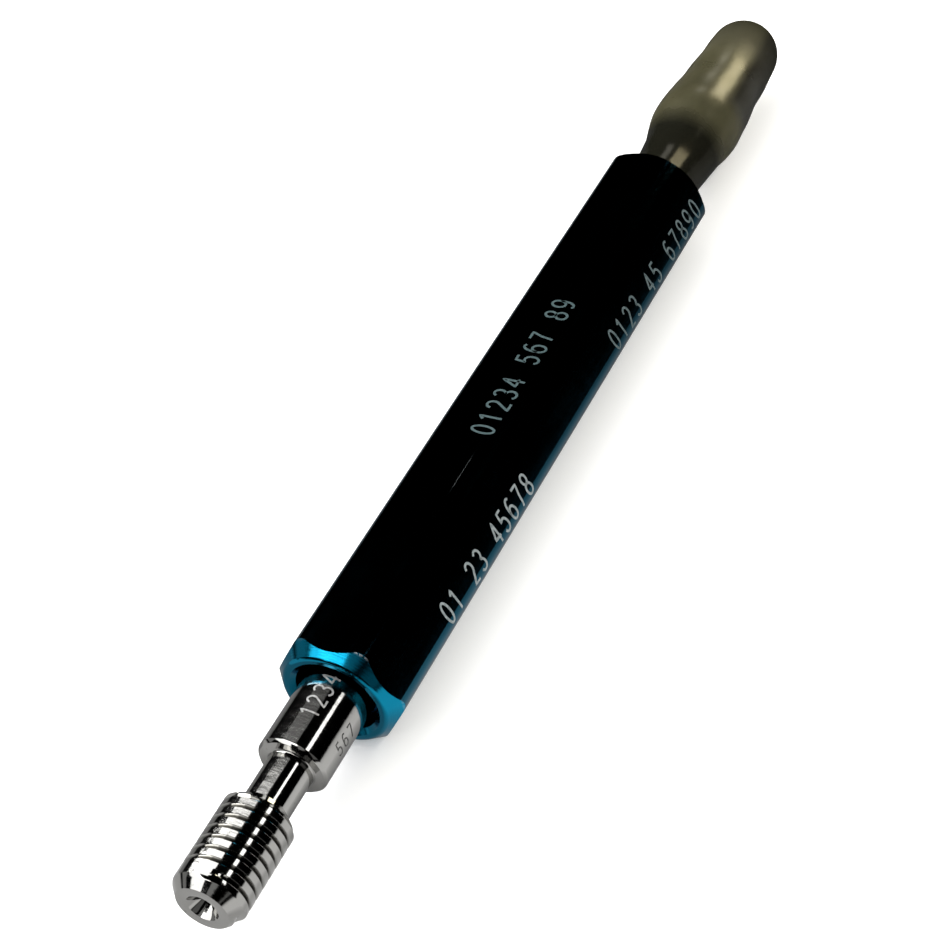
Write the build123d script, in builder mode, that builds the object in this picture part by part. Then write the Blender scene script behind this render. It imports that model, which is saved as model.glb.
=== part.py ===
from build123d import *
import os

# Double-ended thread plug gauge: a hexagonal handle with a steel gauging
# member taper-fitted into each end, and a peelable dip coating over one of them.
# Millimetres. The common axis runs along X at height axis_z; the uncovered
# member points to -X, the covered one to +X. The handle lies on the flat at Z = 0.

# ---- driving dimensions ----
overall_length = 92.8          # nose of the open member to the tip of the coating
x_nose = -overall_length / 2   # nose face of the open member
x_tip = overall_length / 2     # tip of the coating

# handle
handle_af = 8.05               # across the flats
axis_z = handle_af / 2         # height of the common axis over the bottom flat
handle_corner_r = 1.1          # rounding of the six long edges
handle_len = 53.98             # 2 1/8 in
handle_x0 = x_nose + 16.65     # front end face
handle_x1 = handle_x0 + handle_len
end_face_r = 3.60              # outer radius of the turned end face
end_cone_len = 1.15            # turned chamfer: this long ...
end_cone_r = 4.55              # ... out to this radius, past the corners
end_edge_r = 0.35              # soft edge between end face and chamfer
mouth_r = 2.87                 # recess round the shank at each end
mouth_depth = 3.00
mouth_sink = 0.32              # 45 degree countersink of the mouth
relief_r = 1.75                # drilled clearance past the taper
relief_len = 2.0

# taper fit, the same at both ends
shank_r = 2.395                # straight part of a member's shank
taper_len = 12.0
taper_end_r = 2.095            # 1 in 20 on diameter

# gauging members, lengths from the nose face
thread_pitch = 0.79375         # 32 threads per inch
crest_r = 2.413                # 0.190 in major diameter
nose_r = 1.80                  # nose face radius
nose_chamfer = 0.70            # nose face to full crest
thread_end = 6.84              # end of the full crest
thread_runout = 0.80           # chamfer from the crest down to the neck
neck_r = 1.54
shoulder_at = 11.00            # neck to shank step
shoulder_edge = 0.12
centre_r = 1.05                # 60 degree centre hole in the nose
centre_pilot_r = 0.40
centre_pilot_depth = 2.70
nogo_crest_r = 2.39
nogo_thread_len = 5.50         # the second thread is shorter
nogo_nose = 10.60              # shoulder to nose face on the covered member

# dip coating: outer radius at distances along X from the handle's back face
coat_knots = [(0.00, 3.02), (0.80, 2.76), (2.30, 2.67), (4.40, 2.80),
              (6.55, 3.16), (8.10, 3.42), (9.20, 3.48), (11.1, 3.34), (13.3, 3.16),
              (15.4, 3.05), (17.6, 2.95)]
coat_tip_r = 2.82              # the coating ends in a dome of this radius
coat_plug = 0.55               # how far the coating runs into the mouth

taper_start_front = handle_x0 + mouth_depth
taper_start_back = handle_x1 - mouth_depth
# the slender end of each taper is drawn this far short of the taper hole's end
taper_gap = 0.4

axis_line = Axis((0, 0, axis_z), (1, 0, 0))
# drawing plane through the axis: local x along X, local y is the radius
section = Plane(origin=(0, 0, axis_z), x_dir=(1, 0, 0), z_dir=(0, -1, 0))


def taper_radius(depth):
    """Radius of the taper at a depth past its large end."""
    return shank_r + (taper_end_r - shank_r) * depth / taper_len


def mouth_profile(face, inward):
    """Closed half section of one end's hole: countersink, recess, taper, drilled relief.
    face is the end face's X, inward is +1 or -1 along X."""
    cone = relief_r * 0.6
    return [
        (face - inward * 0.5, 0),
        (face - inward * 0.5, mouth_r + mouth_sink + 0.5),
        (face + inward * mouth_sink, mouth_r),
        (face + inward * mouth_depth, mouth_r),
        (face + inward * mouth_depth, shank_r),
        (face + inward * (mouth_depth + taper_len), taper_end_r),
        (face + inward * (mouth_depth + taper_len), relief_r),
        (face + inward * (mouth_depth + taper_len + relief_len), relief_r),
        (face + inward * (mouth_depth + taper_len + relief_len + cone), 0),
    ]


# ---- handle: hexagonal bar, long edges rounded, both ends turned, a taper hole in each end ----
with BuildPart() as handle:
    with BuildSketch(Plane(origin=(handle_x0, 0, axis_z), x_dir=(0, 1, 0), z_dir=(1, 0, 0))) as hexagon:
        RegularPolygon(radius=handle_af / 2, side_count=6, major_radius=False)
        fillet(hexagon.vertices(), handle_corner_r)
    extrude(amount=handle_x1 - handle_x0)
    # turned outline of both ends
    with BuildSketch(section) as turned:
        with BuildLine():
            Polyline(
                (handle_x0, 0),
                (handle_x0, end_face_r),
                (handle_x0 + end_cone_len, end_cone_r),
                (handle_x0 + end_cone_len + 0.3, end_cone_r + 0.6),
                (handle_x1 - end_cone_len - 0.3, end_cone_r + 0.6),
                (handle_x1 - end_cone_len, end_cone_r),
                (handle_x1, end_face_r),
                (handle_x1, 0),
                close=True,
            )
        make_face()
        soft = turned.vertices().filter_by(
            lambda v: abs((v.Z - axis_z) - end_face_r) < 1e-4 or abs(v.Y - end_face_r) < 1e-4)
        fillet(soft, end_edge_r)
    revolve(axis=axis_line, mode=Mode.INTERSECT)
    # front hole
    with BuildSketch(section):
        with BuildLine():
            Polyline(*mouth_profile(handle_x0, 1), close=True)
        make_face()
    revolve(axis=axis_line, mode=Mode.SUBTRACT)
    # back hole
    with BuildSketch(section):
        with BuildLine():
            Polyline(*mouth_profile(handle_x1, -1), close=True)
        make_face()
    revolve(axis=axis_line, mode=Mode.SUBTRACT)
handle.part.label = "handle"

# ---- open gauging member: centre hole, chamfered thread land, neck, shoulder, shank, taper ----
go_taper_end = taper_start_front + taper_len - taper_gap
with BuildPart() as go_member:
    with BuildSketch(section):
        with BuildLine():
            Polyline(
                (x_nose, 0),
                (x_nose, nose_r),
                (x_nose + nose_chamfer, crest_r),
                (x_nose + thread_end, crest_r),
                (x_nose + thread_end + thread_runout, neck_r),
                (x_nose + shoulder_at, neck_r),
                (x_nose + shoulder_at, shank_r - shoulder_edge),
                (x_nose + shoulder_at + shoulder_edge, shank_r),
                (taper_start_front, shank_r),
                (go_taper_end - 0.15, taper_radius(taper_len - taper_gap - 0.15)),
                (go_taper_end, taper_end_r - 0.2),
                (go_taper_end, 0),
                close=True,
            )
        make_face()
    revolve(axis=axis_line)
    # centre hole in the nose: 60 degree cone and a small pilot
    with BuildSketch(section):
        with BuildLine():
            Polyline(
                (x_nose - 0.2, 0),
                (x_nose - 0.2, centre_r + 0.2 * 0.57735),
                (x_nose + (centre_r - centre_pilot_r) / 0.57735, centre_pilot_r),
                (x_nose + centre_pilot_depth, centre_pilot_r),
                (x_nose + centre_pilot_depth + 0.25, 0),
                close=True,
            )
        make_face()
    revolve(axis=axis_line, mode=Mode.SUBTRACT)
go_member.part.label = "go_member"

# ---- covered gauging member: the same shank and taper, a shorter thread ----
nogo_shoulder = handle_x1 + (handle_x0 - x_nose - shoulder_at)
nogo_face = nogo_shoulder + nogo_nose
nogo_crest_1 = nogo_face - nose_chamfer
nogo_crest_0 = nogo_crest_1 - nogo_thread_len
nogo_outline = [
    (nogo_shoulder, shank_r - shoulder_edge),
    (nogo_shoulder, neck_r),
    (nogo_crest_0 - thread_runout, neck_r),
    (nogo_crest_0, nogo_crest_r),
    (nogo_crest_1, nogo_crest_r),
    (nogo_face, nose_r),
]
nogo_taper_end = taper_start_back - taper_len + taper_gap
with BuildPart() as nogo_member:
    with BuildSketch(section):
        with BuildLine():
            Polyline(
                (nogo_taper_end, 0),
                (nogo_taper_end, taper_end_r - 0.2),
                (nogo_taper_end + 0.15, taper_radius(taper_len - taper_gap - 0.15)),
                (taper_start_back, shank_r),
                (nogo_shoulder - shoulder_edge, shank_r),
                *nogo_outline,
                (nogo_face, 0),
                close=True,
            )
        make_face()
    revolve(axis=axis_line)
nogo_member.part.label = "nogo_member"

# ---- dip coating: one skin round the covered member, run a little way into the handle's mouth ----
with BuildPart() as dip_coating:
    with BuildSketch(section):
        with BuildLine():
            dome_x = x_tip - coat_tip_r
            dome_0 = (dome_x + coat_tip_r * 0.10, coat_tip_r * (1 - 0.10 ** 2) ** 0.5)
            dome_mid = (dome_x + coat_tip_r * 0.5 ** 0.5, coat_tip_r * 0.5 ** 0.5)
            pts = [(handle_x1 + a, r) for a, r in coat_knots] + [dome_0]
            Spline(*pts, tangents=[(0.5, -0.87), (dome_0[1], -coat_tip_r * 0.10)])
            ThreePointArc(dome_0, dome_mid, (x_tip, 0))
            Polyline(
                (x_tip, 0),
                (nogo_face, 0),
                *reversed(nogo_outline),
                (nogo_shoulder - shoulder_edge, shank_r),
                (handle_x1 - coat_plug, shank_r),
                (handle_x1 - coat_plug, mouth_r),
                (handle_x1 - mouth_sink, mouth_r),
                (handle_x1, mouth_r + mouth_sink - 0.001),
                pts[0],
            )
        make_face()
    revolve(axis=axis_line)
dip_coating.part.label = "dip_coating"

os.makedirs("parts", exist_ok=True)
for piece, node in (
    (handle.part, "handle"),
    (go_member.part, "go_member"),
    (nogo_member.part, "nogo_member"),
    (dip_coating.part, "dip_coating"),
):
    export_step(piece, f"parts/{node}.step")
    bb = piece.bounding_box()
    print(node, "solids", len(piece.solids()), "volume %.3f" % piece.volume,
          "x %.3f..%.3f y %.3f..%.3f z %.3f..%.3f" % (bb.min.X, bb.max.X, bb.min.Y, bb.max.Y, bb.min.Z, bb.max.Z))
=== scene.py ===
import math
import bpy
import bmesh
from mathutils import Matrix, Vector


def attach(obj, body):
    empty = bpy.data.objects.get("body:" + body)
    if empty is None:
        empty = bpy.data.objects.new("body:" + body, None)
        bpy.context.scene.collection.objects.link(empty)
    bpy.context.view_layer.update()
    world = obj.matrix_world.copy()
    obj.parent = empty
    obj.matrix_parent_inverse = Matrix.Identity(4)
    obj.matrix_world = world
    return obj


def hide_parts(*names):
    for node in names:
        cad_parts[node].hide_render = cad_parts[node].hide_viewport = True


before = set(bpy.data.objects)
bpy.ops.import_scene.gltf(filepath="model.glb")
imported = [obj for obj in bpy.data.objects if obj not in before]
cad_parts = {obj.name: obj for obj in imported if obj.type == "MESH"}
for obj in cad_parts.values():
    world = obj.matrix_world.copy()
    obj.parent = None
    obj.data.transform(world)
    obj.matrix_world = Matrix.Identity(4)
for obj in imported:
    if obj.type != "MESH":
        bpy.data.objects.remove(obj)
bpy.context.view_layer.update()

# Lengths below are millimetres in the part's own frame: the axis runs along X at height AX.
MM = 0.001
AX = 4.025
X_NOSE = -46.4            # nose face of the open member
X_BACK = 24.23            # back face of the handle
X_TIP = 46.4
PITCH = 0.79375
CREST = 2.413
ROOT = CREST - 0.470
SHANK = 2.395
NECK = 1.54


# ------------------------------------------------------------------ mesh helpers
def finish_mesh(name, bm, sharp=32.0, weld=1e-4):
    bmesh.ops.remove_doubles(bm, verts=bm.verts, dist=weld)
    bmesh.ops.dissolve_degenerate(bm, edges=bm.edges, dist=1e-5)
    bmesh.ops.recalc_face_normals(bm, faces=bm.faces)
    lim = math.radians(sharp)
    for f in bm.faces:
        f.smooth = True
    for e in bm.edges:
        if len(e.link_faces) == 2 and e.calc_face_angle(0.0) > lim:
            e.smooth = False
    me = bpy.data.meshes.new(name)
    bm.to_mesh(me)
    bm.free()
    me.transform(Matrix.Scale(MM, 4))
    ob = bpy.data.objects.new(name, me)
    bpy.context.scene.collection.objects.link(ob)
    return ob


def ring(bm, place, x, r, n):
    if r < 1e-6:
        return [bm.verts.new(place(x, 0.0, 0.0))]
    return [bm.verts.new(place(x, r, 2 * math.pi * i / n)) for i in range(n)]


def join_rings(bm, a, b):
    """Faces between two rings of equal count, or between a ring and a single point."""
    if len(a) == 1 and len(b) == 1:
        return
    if len(a) == 1 or len(b) == 1:
        one, many = (a[0], b) if len(a) == 1 else (b[0], a)
        for i in range(len(many)):
            bm.faces.new((one, many[i], many[(i + 1) % len(many)]))
        return
    for i in range(len(a)):
        j = (i + 1) % len(a)
        bm.faces.new((a[i], a[j], b[j], b[i]))


def zip_loops(bm, a, b):
    """Triangles between two closed loops given as (angle, vertex) lists of any counts."""
    a, b = sorted(a, key=lambda p: p[0]), sorted(b, key=lambda p: p[0])
    a = a + [(a[0][0] + 2 * math.pi, a[0][1])]
    b = b + [(b[0][0] + 2 * math.pi, b[0][1])]
    i = j = 0
    while i < len(a) - 1 or j < len(b) - 1:
        if j == len(b) - 1 or (i < len(a) - 1 and a[i + 1][0] <= b[j + 1][0]):
            tri = (a[i][1], a[i + 1][1], b[j][1])
            i += 1
        else:
            tri = (a[i][1], b[j + 1][1], b[j][1])
            j += 1
        if len(set(tri)) == 3:
            bm.faces.new(tri)


def arc_pts(cx, cr, r, a0, a1, n):
    """Profile points (x, r) of a small arc, degrees."""
    return [(cx + r * math.cos(math.radians(a0 + (a1 - a0) * i / n)),
             cr + r * math.sin(math.radians(a0 + (a1 - a0) * i / n))) for i in range(n + 1)]


# ------------------------------------------------------------------ gauging members
def member(name, place, crest, full_end, neck_end, tail, n_ring, phase, start_turn):
    """One turned and ground member. Local x is 0 at the nose face and grows into the handle."""
    P = PITCH
    flat = 0.58 * P               # crest width that the photo shows
    fl = (P - flat - 0.035 * P) / 2
    root = crest - fl / math.tan(math.radians(30))
    run = 0.80
    cut_end = full_end + run

    def smooth(t):
        t = min(1.0, max(0.0, t))
        return t * t * (3 - 2 * t)

    def envelope(x, th=None):
        e = crest
        if th is not None and x < 1.0:
            d = abs((math.degrees(th) - 222.0 + 180.0) % 360.0 - 180.0)
            inside = 1.0 - smooth((d - 30.0) / 9.0)
            cut = crest - (crest - root) * 1.5 * inside * (1.0 - smooth((x - 0.80) / 0.16))
            e = min(e, cut)
        if x < 0.70:
            e = min(e, 1.80 + (crest - 1.80) * x / 0.70)
        if x > full_end:
            e = min(e, crest - (crest - NECK) * (x - full_end) / run)
        return e

    # one pitch of the 60 degree profile, from groove bottom to groove bottom
    rf = 0.035 * P / 2
    e = 0.014
    c0, c1 = rf + fl, rf + fl + flat
    prof = [(0.0, 0.0), (rf + 0.004, 0.02), (rf + fl * 0.5, 0.5), (c0 - e * 0.5, 0.955), (c0 + e, 1.0),
            (c0 + 0.05, 1.0), (c0 + flat / 2, 1.0), (c1 - 0.05, 1.0),
            (c1 - e, 1.0), (c1 + e * 0.5, 0.955), (c1 + fl * 0.5, 0.5), (c1 + fl - 0.004, 0.02)]
    m = len(prof)
    x_first = phase - P * (math.ceil(phase / P) + 2)
    turns = int(math.ceil((cut_end - x_first) / P)) + 2
    bm = bmesh.new()
    cols = []
    for k in range(turns * n_ring + 1):
        tau = k / n_ring
        th = 2 * math.pi * (k % n_ring) / n_ring
        fill_before = 1.0 - smooth((tau - start_turn) / 0.12)
        fill_after = 1.0 - smooth((tau + 1.0 - start_turn) / 0.12)
        col = []
        for px, h in prof:
            x = x_first + P * tau + px
            h = max(h, fill_before if px < c0 else 0.0, fill_after if px > c1 else 0.0)
            r = root + (crest - root) * h
            col.append(bm.verts.new(place(x, min(r, envelope(x, th)), th)))
        cols.append(col)
    for k in range(len(cols) - 1):
        a, b = cols[k], cols[k + 1]
        for j in range(m - 1):
            bm.faces.new((a[j], a[j + 1], b[j + 1], b[j]))
        if k + 1 + n_ring < len(cols):
            bm.faces.new((a[m - 1], cols[k + n_ring][0], cols[k + 1 + n_ring][0], b[m - 1]))
    p0, p1 = Vector(place(0.0, 0.0, 0.0)), Vector(place(1.0, 0.0, 0.0))
    ax = (p1 - p0).normalized()
    for x, keep in ((0.0, -1), (cut_end, 1)):
        geom = bm.verts[:] + bm.edges[:] + bm.faces[:]
        bmesh.ops.bisect_plane(bm, geom=geom, dist=1e-6, plane_co=p0 + ax * x, plane_no=ax,
                               clear_inner=keep < 0, clear_outer=keep > 0)
    bmesh.ops.remove_doubles(bm, verts=bm.verts, dist=1e-5)
    bm.verts.ensure_lookup_table()
    ey = Vector(place(0.0, 1.0, 0.0)) - p0
    ez = Vector(place(0.0, 1.0, math.pi / 2)) - p0

    def loop_at(x):
        out = []
        for v in bm.verts:
            q = v.co - p0
            if abs(q.dot(ax) - x) < 2e-5 and v.is_boundary:
                out.append((math.atan2(q.dot(ez), q.dot(ey)) % (2 * math.pi), v))
        return out

    def ring_loop(r0):
        return [(2 * math.pi * i / n_ring, v) for i, v in enumerate(r0)]

    nose_loop, end_loop = loop_at(0.0), loop_at(cut_end)

    # nose face, centre hole with its small protecting edge, and pilot
    front = [(-0.0, 1.765), (0.0, 1.14), (0.018, 1.085), (0.10, 1.02),
             (1.126, 0.415), (1.16, 0.40), (2.70, 0.40), (2.93, 0.0)]
    prev = None
    for x, r in front:
        cur = ring(bm, place, x, r, n_ring)
        if prev is None:
            zip_loops(bm, nose_loop, ring_loop(cur))
        else:
            join_rings(bm, prev, cur)
        prev = cur

    # neck, shoulder, ground shank and taper
    body = [(cut_end + 0.03, NECK), (cut_end + 0.08, NECK)]
    body += [(cut_end + 0.08 + (neck_end - 0.24 - cut_end - 0.08) * i / 6, NECK) for i in range(1, 7)]
    body += [(neck_end - 0.19, NECK), (neck_end - 0.16, NECK)]
    body += arc_pts(neck_end - 0.16, NECK + 0.16, 0.16, -90, 0, 5)[1:]
    body += [(neck_end, SHANK - 0.22), (neck_end, SHANK - 0.19)]
    body += [(neck_end + 0.015, SHANK - 0.17), (neck_end + 0.10, SHANK - 0.095), (neck_end + 0.18, SHANK - 0.012), (neck_end + 0.20, SHANK)]
    body += [(neck_end + 0.23, SHANK), (neck_end + 0.27, SHANK)]
    steps = 10
    for i in range(1, steps + 1):
        body.append((neck_end + 0.27 + (tail[0] - neck_end - 0.27) * i / steps, SHANK))
    body += [(tail[1] - 0.15, tail[2] + 0.004), (tail[1], tail[2] - 0.15), (tail[1], 0.6), (tail[1], 0.0)]
    prev = None
    for x, r in body:
        cur = ring(bm, place, x, r, n_ring)
        if prev is None:
            zip_loops(bm, end_loop, ring_loop(cur))
        else:
            join_rings(bm, prev, cur)
        prev = cur
    return finish_mesh(name, bm, sharp=24.0, weld=2e-5)


def place_go(x, r, th):
    return (X_NOSE + x, r * math.cos(th), AX + r * math.sin(th))


X_NOGO_NOSE = X_BACK + 5.65 + 10.60


def place_nogo(x, r, th):
    return (X_NOGO_NOSE - x, -r * math.cos(th), AX + r * math.sin(th))


GROOVE0 = 1.82 - PITCH * 30.16 / 360.0
go = member("go_member_thread", place_go, CREST, 6.84, 11.00, (19.65, 31.25, 2.105), 192, GROOVE0, 4.28)
nogo = member("nogo_member_thread", place_nogo, 2.39, 6.20, 10.60, (16.25 + 3.0, 30.85, 2.105), 96, 0.3, 3.28)


# ------------------------------------------------------------------ dip coating
def pchip(xs, ys, x):
    n = len(xs)
    d = [(ys[i + 1] - ys[i]) / (xs[i + 1] - xs[i]) for i in range(n - 1)]
    sl = [d[0]] + [0.0 if d[i - 1] * d[i] <= 0 else 2 * d[i - 1] * d[i] / (d[i - 1] + d[i]) for i in range(1, n - 1)] + [d[-1]]
    i = max(0, min(n - 2, max(k for k in range(n - 1) if xs[k] <= x or k == 0)))
    h = xs[i + 1] - xs[i]
    t = (x - xs[i]) / h
    return ((2 * t ** 3 - 3 * t ** 2 + 1) * ys[i] + (t ** 3 - 2 * t ** 2 + t) * h * sl[i]
            + (-2 * t ** 3 + 3 * t ** 2) * ys[i + 1] + (t ** 3 - t ** 2) * h * sl[i + 1])


COAT = [(0.0, 3.02), (0.8, 2.76), (2.3, 2.67), (4.4, 2.80), (6.55, 3.16), (8.1, 3.42), (9.2, 3.48),
        (11.1, 3.34), (13.3, 3.16), (15.4, 3.05), (17.6, 2.95), (19.35, 2.82)]
cx, cr = [p[0] for p in COAT], [p[1] for p in COAT]


def lump(x, th):
    """Slow unevenness of a film that ran and set while it hung: more on the upper rear side of the bulge."""
    w = math.exp(-((x - 8.3) / 3.6) ** 2)
    side = math.cos(th - math.radians(50))
    a = 0.10 * w * side
    fade = min(1.0, max(0.0, (x - 0.3) / 2.0))
    a += fade * (0.030 * math.sin(0.9 * x + 1.3) * math.cos(th - 0.6)
                 + 0.022 * math.sin(1.7 * x + 2.0 * math.cos(th + 0.4) + 0.5)
                 + 0.016 * math.cos(2 * th + 0.8 * x + 2.1))
    return a


def coating():
    n = 128
    bm = bmesh.new()
    outer = [(-0.55, 2.78), (-0.50, 2.845), (-0.30, 2.86), (-0.02, 2.98)]
    k = 0.0
    while k < 19.35 - 1e-6:
        outer.append((k, pchip(cx, cr, k)))
        k += 0.215
    tip = X_TIP - X_BACK - 2.82
    for i in range(0, 22):
        a = math.pi / 2 * i / 22
        outer.append((tip + 2.82 * math.sin(a), 2.82 * math.cos(a)))
    outer.append((tip + 2.82, 0.0))
    prev = first = None
    for x, r in outer:
        cur = []
        if r < 1e-6:
            cur = [bm.verts.new((X_BACK + x, 0.0, AX))]
        else:
            for i in range(n):
                th = 2 * math.pi * i / n
                rr = r + (lump(x, th) * min(1.0, r / 2.4) * min(1.0, max(0.0, (tip + 2.6 - x) / 3.0)) if x > 0 else 0.0)
                cur.append(bm.verts.new((X_BACK + x, rr * math.cos(th), AX + rr * math.sin(th))))
        if prev is not None:
            join_rings(bm, prev, cur)
        else:
            first = cur
        prev = cur
    g = 0.02
    inner = [(-0.55, SHANK - g), (2.0, SHANK - g), (4.0, SHANK - g), (5.62, SHANK - g), (5.62, NECK - g), (9.2, NECK - g),
             (9.2, 1.86), (13.0, 1.86), (16.0, 1.80), (16.2, 1.72), (16.2, 0.0)]
    prev = first
    for x, r in inner:
        cur = ring(bm, lambda a, b, c: (X_BACK + a, b * math.cos(c), AX + b * math.sin(c)), x, r, n)
        join_rings(bm, prev, cur)
        prev = cur
    return finish_mesh("dip_coating_skin", bm, sharp=40.0)


skin = coating()

# ------------------------------------------------------------------ plain engraved numerals
def bow(cx0, cy0, rx, ry, a0, a1, n=14):
    return [(cx0 + rx * math.cos(math.radians(a0 + (a1 - a0) * i / n)),
             cy0 + ry * math.sin(math.radians(a0 + (a1 - a0) * i / n))) for i in range(n + 1)]


GLYPH = {
    "0": [bow(.29, .5, .27, .5, 90, 450, 26)],
    "1": [[(.10, .80), (.32, 1.0), (.32, 0)]],
    "2": [bow(.29, .72, .26, .28, 165, -30, 14) + [(.03, 0), (.57, 0)]],
    "3": [bow(.27, .75, .25, .25, 150, -85, 12) + bow(.27, .26, .29, .26, 80, -150, 14)],
    "4": [[(.43, 0), (.43, 1.0), (.0, .30), (.58, .30)]],
    "5": [[(.53, 1.0), (.13, 1.0), (.07, .55)] + bow(.28, .32, .28, .32, 125, -150, 16)],
    "6": [bow(.33, .55, .30, .45, 60, 180, 9) + bow(.30, .31, .27, .31, 180, 540, 22)],
    "7": [[(.02, 1.0), (.57, 1.0), (.35, .55), (.22, 0)]],
    "8": [bow(.29, .76, .23, .24, 90, 450, 20), bow(.29, .26, .28, .26, 90, 450, 22)],
    "9": [bow(.28, .69, .27, .31, 0, 360, 22) + bow(.25, .45, .30, .45, 0, -120, 9)],
}


def lettering(name, text, place, x0, x1, w_mid, height, stroke, rise, step=None):
    """Raised strokes of a few microns, laid on the surface by place(x, w, h)."""
    bm = bmesh.new()
    n = len(text)
    pitch = step or (x1 - x0) / n
    for i, ch in enumerate(text):
        for line in GLYPH.get(ch, []):
            pts = [Vector((x0 + pitch * i + p[0] * height * 0.78, w_mid + (p[1] - 0.5) * height)) for p in line]
            fine = [pts[0]]
            for a, b in zip(pts, pts[1:]):
                m = max(1, int((b - a).length / 0.14))
                fine += [a.lerp(b, q / m) for q in range(1, m + 1)]
            pts = fine
            closed = (pts[0] - pts[-1]).length < 1e-4
            if closed:
                pts = pts[:-1]
            cols = []
            for q in range(len(pts)):
                a = pts[q - 1] if (q > 0 or closed) else pts[q]
                b = pts[(q + 1) % len(pts)] if (q < len(pts) - 1 or closed) else pts[q]
                d = (b - a).normalized()
                nn = Vector((-d.y, d.x)) * stroke / 2
                l, r = pts[q] + nn, pts[q] - nn
                cols.append([bm.verts.new(place(l.x, l.y, -0.01)), bm.verts.new(place(l.x, l.y, rise)),
                             bm.verts.new(place(r.x, r.y, rise)), bm.verts.new(place(r.x, r.y, -0.01))])
            rng = range(len(cols) if closed else len(cols) - 1)
            for q in rng:
                a, b = cols[q], cols[(q + 1) % len(cols)]
                for j in range(4):
                    bm.faces.new((a[j], a[(j + 1) % 4], b[(j + 1) % 4], b[j]))
            if not closed:
                bm.faces.new(cols[0])
                bm.faces.new(cols[-1][::-1])
    return finish_mesh(name, bm, sharp=30.0, weld=1e-6)


HALF = 4.025 * math.tan(math.radians(30)) - 1.1 * math.tan(math.radians(30))


def on_facet(nrm, tan):
    def place(x, w, h):
        if abs(w) <= HALF:
            y, z = nrm[0] * (4.025 + h) + tan[0] * w, nrm[1] * (4.025 + h) + tan[1] * w
        else:
            a, sg = (abs(w) - HALF) / 1.1, (1 if w > 0 else -1)
            dy = nrm[0] * math.cos(a) + tan[0] * sg * math.sin(a)
            dz = nrm[1] * math.cos(a) + tan[1] * sg * math.sin(a)
            y = nrm[0] * 2.925 + tan[0] * sg * HALF + dy * (1.1 + h)
            z = nrm[1] * 2.925 + tan[1] * sg * HALF + dz * (1.1 + h)
        return (x, y, AX + z)
    return place


TOP = on_facet((0.0, 1.0), (1.0, 0.0))
SIDE = on_facet((-0.8660254, 0.5), (0.5, 0.8660254))


def on_shank(psi0):
    def place(x, w, h):
        a = math.radians(psi0) - w / SHANK
        return (x, (SHANK + h) * math.cos(a), AX + (SHANK + h) * math.sin(a))
    return place


marks = [
    lettering("numerals_top", "01234 567 89", TOP, -8.45, 6.35, -0.85, 1.62, 0.185, 0.004),
    lettering("numerals_side_front", "01 23 45678", SIDE, -21.85, -8.30, -1.30, 1.55, 0.185, 0.004),
    lettering("numerals_side_rear", "0123 45 67890"[:13], SIDE, 5.95, 23.0, -1.30, 1.55, 0.185, 0.004),
]
shank_marks = [
    lettering("numerals_shank_a", "1234", on_shank(98), -33.0, -29.3, 0.0, 1.25, 0.13, 0.003),
    lettering("numerals_shank_b", "567", on_shank(172), -33.6, -31.3, 0.0, 0.95, 0.11, 0.003),
]


# ------------------------------------------------------------------ materials
def new_mat(name):
    m = bpy.data.materials.new(name)
    m.use_nodes = True
    nt = m.node_tree
    return m, nt, nt.nodes["Principled BSDF"]


def add(nt, kind, **props):
    nd = nt.nodes.new(kind)
    for k, v in props.items():
        setattr(nd, k, v)
    return nd


def coords(nt, scale):
    """Object coordinates in millimetres, scaled per axis."""
    tc = add(nt, "ShaderNodeTexCoord")
    mp = add(nt, "ShaderNodeMapping")
    mp.inputs["Scale"].default_value = [1000 * s for s in scale]
    nt.links.new(tc.outputs["Object"], mp.inputs["Vector"])
    return mp.outputs["Vector"]


def noise(nt, scale, detail=4.0, rough=0.55):
    nz = add(nt, "ShaderNodeTexNoise")
    nz.inputs["Scale"].default_value = 1.0
    nz.inputs["Detail"].default_value = detail
    nz.inputs["Roughness"].default_value = rough
    nt.links.new(coords(nt, scale), nz.inputs["Vector"])
    return nz.outputs["Fac"]


def ramp(nt, fac, stops):
    cr0 = add(nt, "ShaderNodeValToRGB")
    el = cr0.color_ramp.elements
    while len(el) < len(stops):
        el.new(0.5)
    for e0, (p, c) in zip(el, stops):
        e0.position = p
        e0.color = (*c, 1.0) if len(c) == 3 else c
    nt.links.new(fac, cr0.inputs["Fac"])
    return cr0.outputs["Color"]


def grey(v):
    return (v, v, v)


def math_node(nt, op, a, b=None, clamp=False):
    nd = add(nt, "ShaderNodeMath", operation=op, use_clamp=clamp)
    for i, v in enumerate((a, b)):
        if v is None:
            continue
        if isinstance(v, (int, float)):
            nd.inputs[i].default_value = v
        else:
            nt.links.new(v, nd.inputs[i])
    return nd.outputs[0]


def mix_col(nt, fac, a, b):
    nd = add(nt, "ShaderNodeMix", data_type="RGBA")
    nt.links.new(fac, nd.inputs["Factor"])
    for i, v in ((6, a), (7, b)):
        if isinstance(v, tuple):
            nd.inputs[i].default_value = (*v, 1.0)
        else:
            nt.links.new(v, nd.inputs[i])
    return nd.outputs[2]


def bump(nt, height, strength, dist, normal=None):
    b = add(nt, "ShaderNodeBump")
    b.inputs["Strength"].default_value = strength
    b.inputs["Distance"].default_value = dist
    nt.links.new(height, b.inputs["Height"])
    if normal is not None:
        nt.links.new(normal, b.inputs["Normal"])
    return b.outputs["Normal"]


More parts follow.
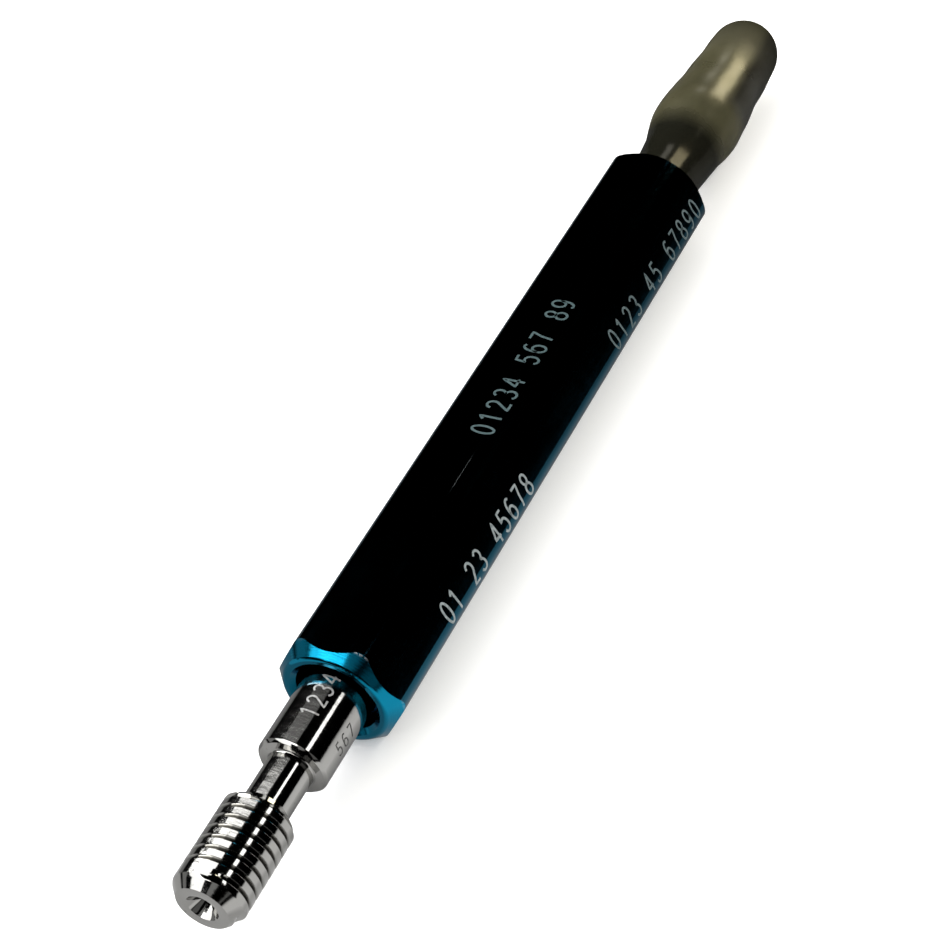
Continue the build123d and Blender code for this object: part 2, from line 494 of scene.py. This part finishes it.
def axis_parts(nt):
    """x in mm and distance from the axis in mm, of the shaded point."""
    tc = add(nt, "ShaderNodeTexCoord")
    sep = add(nt, "ShaderNodeSeparateXYZ")
    nt.links.new(tc.outputs["Object"], sep.inputs[0])
    x = math_node(nt, "MULTIPLY", sep.outputs[0], 1000.0)
    y = math_node(nt, "MULTIPLY", sep.outputs[1], 1000.0)
    z = math_node(nt, "SUBTRACT", math_node(nt, "MULTIPLY", sep.outputs[2], 1000.0), AX)
    r = math_node(nt, "SQRT", math_node(nt, "ADD", math_node(nt, "MULTIPLY", y, y), math_node(nt, "MULTIPLY", z, z)))
    return x, r


def steel_material():
    m, nt, p = new_mat("gauge_steel_lapped")
    p.inputs["Metallic"].default_value = 1.0
    base = mix_col(nt, noise(nt, (0.5, 0.5, 0.5)), (0.40, 0.395, 0.38), (0.47, 0.465, 0.445))
    p.inputs["Roughness"].default_value = 0.08
    spots = ramp(nt, noise(nt, (2.6, 2.6, 2.6), 6.0, 0.6), [(0.66, grey(0.0)), (0.74, grey(1.0))])
    base = mix_col(nt, spots, base, (0.20, 0.195, 0.18))
    # painted shade: the thread grooves are coloured darker, standing in for the shade and dark reflections that fall in
    # them; the thread grooves look dark in the photo: coloured as old oil, which is a guess
    x, r = axis_parts(nt)
    deep = ramp(nt, math_node(nt, "DIVIDE", r, 5.0), [(0.452, grey(1.0)), (0.476, grey(0.0))])
    run = math_node(nt, "MULTIPLY", math_node(nt, "GREATER_THAN", x, -45.3), math_node(nt, "LESS_THAN", x, -39.9))
    base = mix_col(nt, math_node(nt, "MULTIPLY", deep, run), base, (0.115, 0.112, 0.102))
    nt.links.new(base, p.inputs["Base Color"])
    rough = math_node(nt, "ADD", math_node(nt, "MULTIPLY", noise(nt, (5.0, 0.6, 0.6), 5.0), 0.10), 0.03)
    nt.links.new(rough, p.inputs["Roughness"])
    grind = noise(nt, (30.0, 0.8, 0.8), 3.0, 0.7)
    wave = noise(nt, (1.6, 0.5, 0.5), 2.0)
    nrm = bump(nt, grind, 0.22, 0.000004)
    nrm = bump(nt, wave, 0.25, 0.00003, nrm)
    nt.links.new(nrm, p.inputs["Normal"])
    return m


def handle_material():
    m, nt, p = new_mat("anodised_blue_aluminium")
    p.inputs["Metallic"].default_value = 1.0
    x, r = axis_parts(nt)
    cloud = noise(nt, (0.25, 0.25, 0.25), 3.0)
    geo = add(nt, "ShaderNodeNewGeometry")
    gs = add(nt, "ShaderNodeSeparateXYZ")
    nt.links.new(geo.outputs["True Normal"], gs.inputs[0])
    lathe = math_node(nt, "GREATER_THAN", math_node(nt, "ABSOLUTE", gs.outputs[0]), 0.3)
    flats = mix_col(nt, cloud, (0.010, 0.070, 0.115), (0.020, 0.105, 0.150))
    faces = mix_col(nt, cloud, (0.003, 0.200, 0.335), (0.008, 0.280, 0.450))
    # painted shade: the turned faces of the covered end are coloured nearly black, which holds back the reflections
    # they would show; the turned faces of the covered end look black in the photo, so they are coloured darker; a
    # guess
    faces = mix_col(nt, math_node(nt, "GREATER_THAN", x, 0.0), faces, (0.003, 0.022, 0.038))
    base = mix_col(nt, lathe, flats, faces)
    # wear to bare metal on the corners where the ends were turned, painted pale; on the upper front corner it is also a
    # painted highlight
    ends = math_node(nt, "MAXIMUM",
                     math_node(nt, "LESS_THAN", x, -28.72), math_node(nt, "GREATER_THAN", x, 23.7))
    edge = ramp(nt, math_node(nt, "DIVIDE", r, 5.0), [(0.868, grey(0.0)), (0.886, grey(1.0))])
    chips = ramp(nt, noise(nt, (3.2, 3.2, 3.2), 6.0, 0.65), [(0.42, grey(0.0)), (0.48, grey(1.0))])
    # strongest on the upper front corner, where it serves as a painted highlight, faint on the others
    tc = add(nt, "ShaderNodeTexCoord")
    sep = add(nt, "ShaderNodeSeparateXYZ")
    nt.links.new(tc.outputs["Object"], sep.inputs[0])
    toward = math_node(nt, "ADD", math_node(nt, "MULTIPLY", sep.outputs[1], -500.0),
                       math_node(nt, "MULTIPLY", math_node(nt, "SUBTRACT", sep.outputs[2], AX * MM), 866.0))
    upper = ramp(nt, math_node(nt, "DIVIDE", toward, 5.0), [(0.80, grey(0.12)), (0.87, grey(1.0))])
    chips = math_node(nt, "MULTIPLY", chips, upper)
    wear_and_painted_highlight = math_node(nt, "MULTIPLY", math_node(nt, "MULTIPLY", edge, chips), ends)
    top = math_node(nt, "GREATER_THAN", sep.outputs[2], 0.00802)
    # the one fine scratch along the top flat
    y = math_node(nt, "MULTIPLY", sep.outputs[1], 1000.0)
    line = math_node(nt, "ADD", math_node(nt, "MULTIPLY", math_node(nt, "ADD", x, 12.3), 0.006), -1.27)
    near = math_node(nt, "LESS_THAN", math_node(nt, "ABSOLUTE", math_node(nt, "SUBTRACT", y, line)), 0.015)
    reach = math_node(nt, "ABSOLUTE", math_node(nt, "DIVIDE", math_node(nt, "ADD", x, 12.3), 2.2))
    span = ramp(nt, reach, [(0.55, grey(0.75)), (1.0, grey(0.1))])
    hit = math_node(nt, "MULTIPLY", math_node(nt, "MULTIPLY", near, span), top)
    wear_and_painted_highlight = math_node(nt, "MAXIMUM", wear_and_painted_highlight, hit)
    base = mix_col(nt, wear_and_painted_highlight, base, (0.72, 0.76, 0.78))
    nt.links.new(base, p.inputs["Base Color"])
    drawn = noise(nt, (0.12, 9.0, 9.0), 4.0, 0.6)
    smudge = ramp(nt, noise(nt, (0.16, 0.35, 0.35), 5.0, 0.6), [(0.48, grey(0.0)), (0.75, grey(1.0))])
    rough = math_node(nt, "ADD", math_node(nt, "MULTIPLY", drawn, 0.035), 0.015)
    rough = math_node(nt, "ADD", rough, math_node(nt, "MULTIPLY", smudge, 0.05))
    rough = math_node(nt, "ADD", rough, math_node(nt, "MULTIPLY", wear_and_painted_highlight, 0.25))
    rough = math_node(nt, "ADD", rough, math_node(nt, "MULTIPLY", lathe, 0.10))
    nt.links.new(rough, p.inputs["Roughness"])
    tool = add(nt, "ShaderNodeTexNoise", noise_dimensions="1D")
    tool.inputs["Scale"].default_value = 1.0
    tool.inputs["Detail"].default_value = 3.0
    nt.links.new(math_node(nt, "MULTIPLY", math_node(nt, "ADD", r, x), 5.0), tool.inputs["W"])
    turned = math_node(nt, "MULTIPLY", tool.outputs["Fac"], lathe)
    n1 = bump(nt, drawn, 0.05, 0.000008)
    n2 = bump(nt, turned, 0.55, 0.00002, n1)
    n3 = bump(nt, noise(nt, (0.12, 0.5, 0.5), 2.0), 0.04, 0.00006, n2)
    nt.links.new(n3, p.inputs["Normal"])
    return m


def mark_material(name, a, b, rough):
    m, nt, p = new_mat(name)
    f = noise(nt, (6.0, 6.0, 6.0), 5.0, 0.7)
    nt.links.new(mix_col(nt, ramp(nt, f, [(0.35, grey(0.0)), (0.62, grey(1.0))]), a, b), p.inputs["Base Color"])
    p.inputs["Metallic"].default_value = 0.35
    p.inputs["Roughness"].default_value = rough
    nt.links.new(bump(nt, f, 0.5, 0.00001), p.inputs["Normal"])
    return m


def coating_material():
    m, nt, p = new_mat("dip_coating_olive")
    x, r = axis_parts(nt)
    thin = ramp(nt, math_node(nt, "DIVIDE", x, 50.0), [(0.590, grey(1.0)), (0.628, grey(0.05))])
    nt.links.new(math_node(nt, "MULTIPLY", thin, 0.30), p.inputs["Transmission Weight"])
    p.inputs["IOR"].default_value = 1.47
    tone = mix_col(nt, noise(nt, (0.30, 0.5, 0.5), 3.0), (0.026, 0.025, 0.0135), (0.062, 0.057, 0.030))
    tc = add(nt, "ShaderNodeTexCoord")
    sep = add(nt, "ShaderNodeSeparateXYZ")
    nt.links.new(tc.outputs["Object"], sep.inputs[0])
    # painted shade: the coating's body is coloured darker on its underside; it is also coloured darker toward the
    # tip; darker on the underside and toward the tip, as the photo shows it; a guess whether it is dirt or shading
    lift = math_node(nt, "DIVIDE", math_node(nt, "SUBTRACT", math_node(nt, "MULTIPLY", sep.outputs[2], 1000.0), AX), r)
    side = ramp(nt, math_node(nt, "ADD", math_node(nt, "MULTIPLY", lift, 0.5), 0.5), [(0.79, grey(0.0)), (0.885, grey(1.0))])
    body = ramp(nt, math_node(nt, "DIVIDE", x, 50.0), [(0.665, grey(1.0)), (0.70, grey(0.0))])
    side = math_node(nt, "MAXIMUM", side, body)
    tip = ramp(nt, math_node(nt, "DIVIDE", x, 50.0), [(0.80, grey(1.0)), (0.91, grey(0.22))])
    side = math_node(nt, "MULTIPLY", side, tip)
    tone = mix_col(nt, side, (0.013, 0.0125, 0.009), tone)
    tone = mix_col(nt, thin, tone, (0.009, 0.009, 0.006))
    nt.links.new(tone, p.inputs["Base Color"])
    rough = math_node(nt, "ADD", math_node(nt, "MULTIPLY", noise(nt, (0.5, 0.5, 0.5), 4.0), 0.14), 0.22)
    # clear and smooth where it is thin, dull toward the tip
    where = math_node(nt, "DIVIDE", x, 50.0)
    rough = math_node(nt, "MULTIPLY", rough, ramp(nt, where, [(0.575, grey(0.60)), (0.625, grey(1.0))]))
    rough = math_node(nt, "ADD", rough, ramp(nt, where, [(0.775, grey(0.0)), (0.85, grey(0.36))]))
    nt.links.new(rough, p.inputs["Roughness"])
    p.inputs["Specular Tint"].default_value = (1.0, 0.92, 0.62, 1.0)
    gloss = ramp(nt, math_node(nt, "DIVIDE", x, 50.0), [(0.60, grey(0.06)), (0.70, grey(0.62)), (0.785, grey(0.62)), (0.885, grey(0.0))])
    nt.links.new(gloss, p.inputs["Specular IOR Level"])
    n1 = bump(nt, noise(nt, (0.35, 0.35, 0.35), 2.0), 0.16, 0.0002)
    n2 = bump(nt, noise(nt, (2.2, 2.2, 2.2), 3.0), 0.10, 0.00005, n1)
    nt.links.new(n2, p.inputs["Normal"])
    va = add(nt, "ShaderNodeVolumeAbsorption")
    va.inputs["Color"].default_value = (0.60, 0.55, 0.35, 1.0)
    va.inputs["Density"].default_value = 2200.0
    out = [n for n in nt.nodes if n.type == "OUTPUT_MATERIAL"][0]
    nt.links.new(va.outputs[0], out.inputs["Volume"])
    return m


STEEL = steel_material()
HANDLE = handle_material()
COATING = coating_material()
MARK_TOP = mark_material("laser_mark_top", (0.020, 0.050, 0.055), (0.060, 0.095, 0.10), 0.55)
MARK_FRONT = mark_material("laser_mark_front", (0.16, 0.20, 0.21), (0.34, 0.38, 0.39), 0.55)
MARK_REAR = mark_material("laser_mark_rear", (0.045, 0.085, 0.095), (0.13, 0.17, 0.18), 0.55)
ETCH = mark_material("etched_mark_pale", (0.16, 0.16, 0.155), (0.42, 0.42, 0.41), 0.5)
ETCH_DARK = mark_material("etched_mark_dark", (0.025, 0.025, 0.023), (0.09, 0.09, 0.085), 0.6)

for ob, mat in [(go, STEEL), (nogo, STEEL), (skin, COATING)] + list(zip(marks, (MARK_TOP, MARK_FRONT, MARK_REAR))) + list(zip(shank_marks, (ETCH, ETCH_DARK))):
    ob.data.materials.clear()
    ob.data.materials.append(mat)
    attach(ob, "root")

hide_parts("go_member")
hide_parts("nogo_member")
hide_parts("dip_coating")
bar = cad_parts["handle"]
for sl in bar.material_slots:
    sl.material = HANDLE

# ------------------------------------------------------------------ stage
def stage_mesh(name, verts, faces, mat):
    me = bpy.data.meshes.new(name)
    me.from_pydata([[c * MM for c in v] for v in verts], [], faces)
    me.materials.append(mat)
    ob = bpy.data.objects.new(name, me)
    bpy.context.scene.collection.objects.link(ob)
    return ob


fm, fnt, fp = new_mat("stage_floor_white")
fp.inputs["Base Color"].default_value = (0.86, 0.86, 0.86, 1.0)
fp.inputs["Roughness"].default_value = 0.9
fp.inputs["Specular IOR Level"].default_value = 0.1
fp.inputs["Emission Color"].default_value = (1.0, 1.0, 1.0, 1.0)
fp.inputs["Emission Strength"].default_value = 0.25
S = 3000.0
floor = stage_mesh("stage_floor", [(-S, -S, -0.02), (S, -S, -0.02), (S, S, -0.02), (-S, S, -0.02)], [(0, 1, 2, 3)], fm)
floor.visible_glossy = False
floor.visible_transmission = False

# the sheet that the polished surfaces mirror: it ends in the dark a little way off
sm, snt, sp = new_mat("stage_sheet_pale")
sx, sr = axis_parts(snt)
fade = ramp(snt, math_node(snt, "DIVIDE", sr, 400.0), [(0.14, grey(0.82)), (0.26, grey(0.28)), (0.55, grey(0.004))])
stc = add(snt, "ShaderNodeTexCoord")
ssep = add(snt, "ShaderNodeSeparateXYZ")
snt.links.new(stc.outputs["Object"], ssep.inputs[0])
# painted shadow where the gauge stands on it, and painted shade on its far side and along it toward the covered end
across = ramp(snt, math_node(snt, "ADD", math_node(snt, "MULTIPLY", ssep.outputs[1], 25.0), 0.5),
              [(0.30, grey(1.0)), (0.375, grey(0.62)), (0.45, grey(0.28)), (1.0, grey(0.30))])
along = ramp(snt, math_node(snt, "ADD", ssep.outputs[0], 0.5),
             [(0.40, grey(0.02)), (0.435, grey(1.0)), (0.475, grey(1.0)), (0.50, grey(0.62)), (0.53, grey(0.30))])
# in front of the nose the painted shade is lifted, so the sheet stays lighter there on either side
front = ramp(snt, math_node(snt, "ADD", ssep.outputs[0], 0.5), [(0.4625, grey(0.66)), (0.4645, grey(0.0))])
across = math_node(snt, "MAXIMUM", across, front)
fade = math_node(snt, "MULTIPLY", math_node(snt, "MULTIPLY", fade, across), along)
snt.links.new(fade, sp.inputs["Base Color"])
sp.inputs["Roughness"].default_value = 0.9
sp.inputs["Specular IOR Level"].default_value = 0.1
sheet = stage_mesh("stage_sheet", [(-900, -450, -0.03), (900, -450, -0.03), (900, 450, -0.03), (-900, 450, -0.03)], [(0, 1, 2, 3)], sm)
sheet.visible_camera = False
sheet.visible_diffuse = False
sheet.visible_shadow = False


def card(name, a0, a1, x0, x1, rad, radius=320.0, tint=(1.0, 1.0, 1.0)):
    """A curved light card round the axis: a is degrees from straight up, positive toward -Y."""
    cm = bpy.data.materials.new(name + "_glow")
    cm.use_nodes = True
    nt = cm.node_tree
    nt.nodes.clear()
    em = add(nt, "ShaderNodeEmission")
    em.inputs["Color"].default_value = tint + (1.0,)
    em.inputs["Strength"].default_value = rad
    out = add(nt, "ShaderNodeOutputMaterial")
    nt.links.new(em.outputs[0], out.inputs["Surface"])
    n = max(2, int((a1 - a0) / 3))
    verts, faces = [], []
    for i in range(n + 1):
        a = math.radians(a0 + (a1 - a0) * i / n)
        y, z = -radius * math.sin(a), AX + radius * math.cos(a)
        verts += [(x0, y, z), (x1, y, z)]
    for i in range(n):
        faces.append((2 * i, 2 * i + 1, 2 * i + 3, 2 * i + 2))
    ob = stage_mesh(name, verts, faces, cm)
    ob.visible_camera = False
    ob.visible_shadow = False
    return ob


card("stage_card_top_bright", -51, 1, 60, 134, 2.8)
card("stage_card_top_dim", -41, 4, 136, 169, 0.22)
card("stage_card_strip", 37, 47, 60, 172, 3.2)
card("stage_card_waist", -24, -3, 376, 560, 2.6)
card("stage_card_coat", 14, 56, 375, 1400, 7.5, tint=(1.0, 0.92, 0.68))
card("stage_card_shoulder", -70, -28, -60, 110, 12.0)


def wall(name, az0, az1, el0, el1, rad, radius=520.0):
    """A curved light wall round the upright axis: az is degrees from -X toward +Y, el above the floor."""
    cm = bpy.data.materials.new(name + "_glow")
    cm.use_nodes = True
    nt = cm.node_tree
    nt.nodes.clear()
    em = add(nt, "ShaderNodeEmission")
    em.inputs["Strength"].default_value = rad
    out = add(nt, "ShaderNodeOutputMaterial")
    nt.links.new(em.outputs[0], out.inputs["Surface"])
    n, verts, faces = 18, [], []
    for i in range(n + 1):
        az = math.radians(az0 + (az1 - az0) * i / n)
        for el in (el0, (el0 + el1) / 2, el1):
            e = math.radians(el)
            verts.append((-radius * math.cos(e) * math.cos(az), radius * math.cos(e) * math.sin(az), radius * math.sin(e)))
    for i in range(n):
        for j in range(2):
            faces.append((3 * i + j, 3 * i + j + 1, 3 * i + j + 4, 3 * i + j + 3))
    ob = stage_mesh(name, verts, faces, cm)
    ob.visible_camera = False
    ob.visible_shadow = False
    return ob


wall("stage_wall_key", -24, -6, 26, 47, 0.30)
wall("stage_wall_hot", -6, 52, 37, 48, 4.2, 500.0)
wall("stage_wall_nose", 12, 60, 23, 36.5, 2.4, 500.0)
wall("stage_wall_low", 56, 90, 3, 21, 0.28, 540.0)
wall("stage_wall_side", -62, -35, 3, 30, 0.14, 540.0)


def area(name, loc, aim, sx, sy, rad, spec=True):
    d = bpy.data.lights.new(name, "AREA")
    d.shape = "RECTANGLE"
    d.size, d.size_y = sx * MM, sy * MM
    d.energy = rad * 4 * (sx * MM) * (sy * MM)
    ob = bpy.data.objects.new(name, d)
    ob.location = Vector(loc) * MM
    ob.rotation_mode = "QUATERNION"
    ob.rotation_quaternion = (Vector(aim) - Vector(loc)).to_track_quat("-Z", "Y")
    bpy.context.scene.collection.objects.link(ob)
    ob.visible_camera = False
    if not spec:
        ob.visible_glossy = False
    return ob


area("fill_soft", (-150, -520, 620), (0, 0, 0), 600, 400, 1.2, spec=False)

w = bpy.data.worlds.new("studio")
bpy.context.scene.world = w
w.use_nodes = True
w.node_tree.nodes["Background"].inputs[0].default_value = (1.0, 1.0, 1.0, 1.0)
w.node_tree.nodes["Background"].inputs[1].default_value = 0.98
w.cycles_visibility.glossy = False
w.cycles_visibility.transmission = False

# ------------------------------------------------------------------ camera
LOC = Vector((-105.5425, -61.2420, 109.6257)) * MM
RIGHT = Vector((0.41941873, -0.89748215, -0.13640136))
BACK = Vector((-0.62178154, -0.39349296, 0.67716394)).normalized()
RIGHT = (RIGHT - BACK * RIGHT.dot(BACK)).normalized()
UP = BACK.cross(RIGHT)
cd = bpy.data.cameras.new("photo_view")
cd.sensor_width = 36.0
cd.lens = 36.0 * 2293.462 / 950.0
cd.clip_start, cd.clip_end = 0.005, 20.0
cam = bpy.data.objects.new("photo_view", cd)
cam.matrix_world = Matrix(((RIGHT.x, UP.x, BACK.x, LOC.x), (RIGHT.y, UP.y, BACK.y, LOC.y),
                           (RIGHT.z, UP.z, BACK.z, LOC.z), (0, 0, 0, 1)))
bpy.context.scene.collection.objects.link(cam)
bpy.context.scene.camera = cam
bpy.context.scene.view_settings.view_transform = "Standard"
bpy.context.scene.view_settings.look = "None"
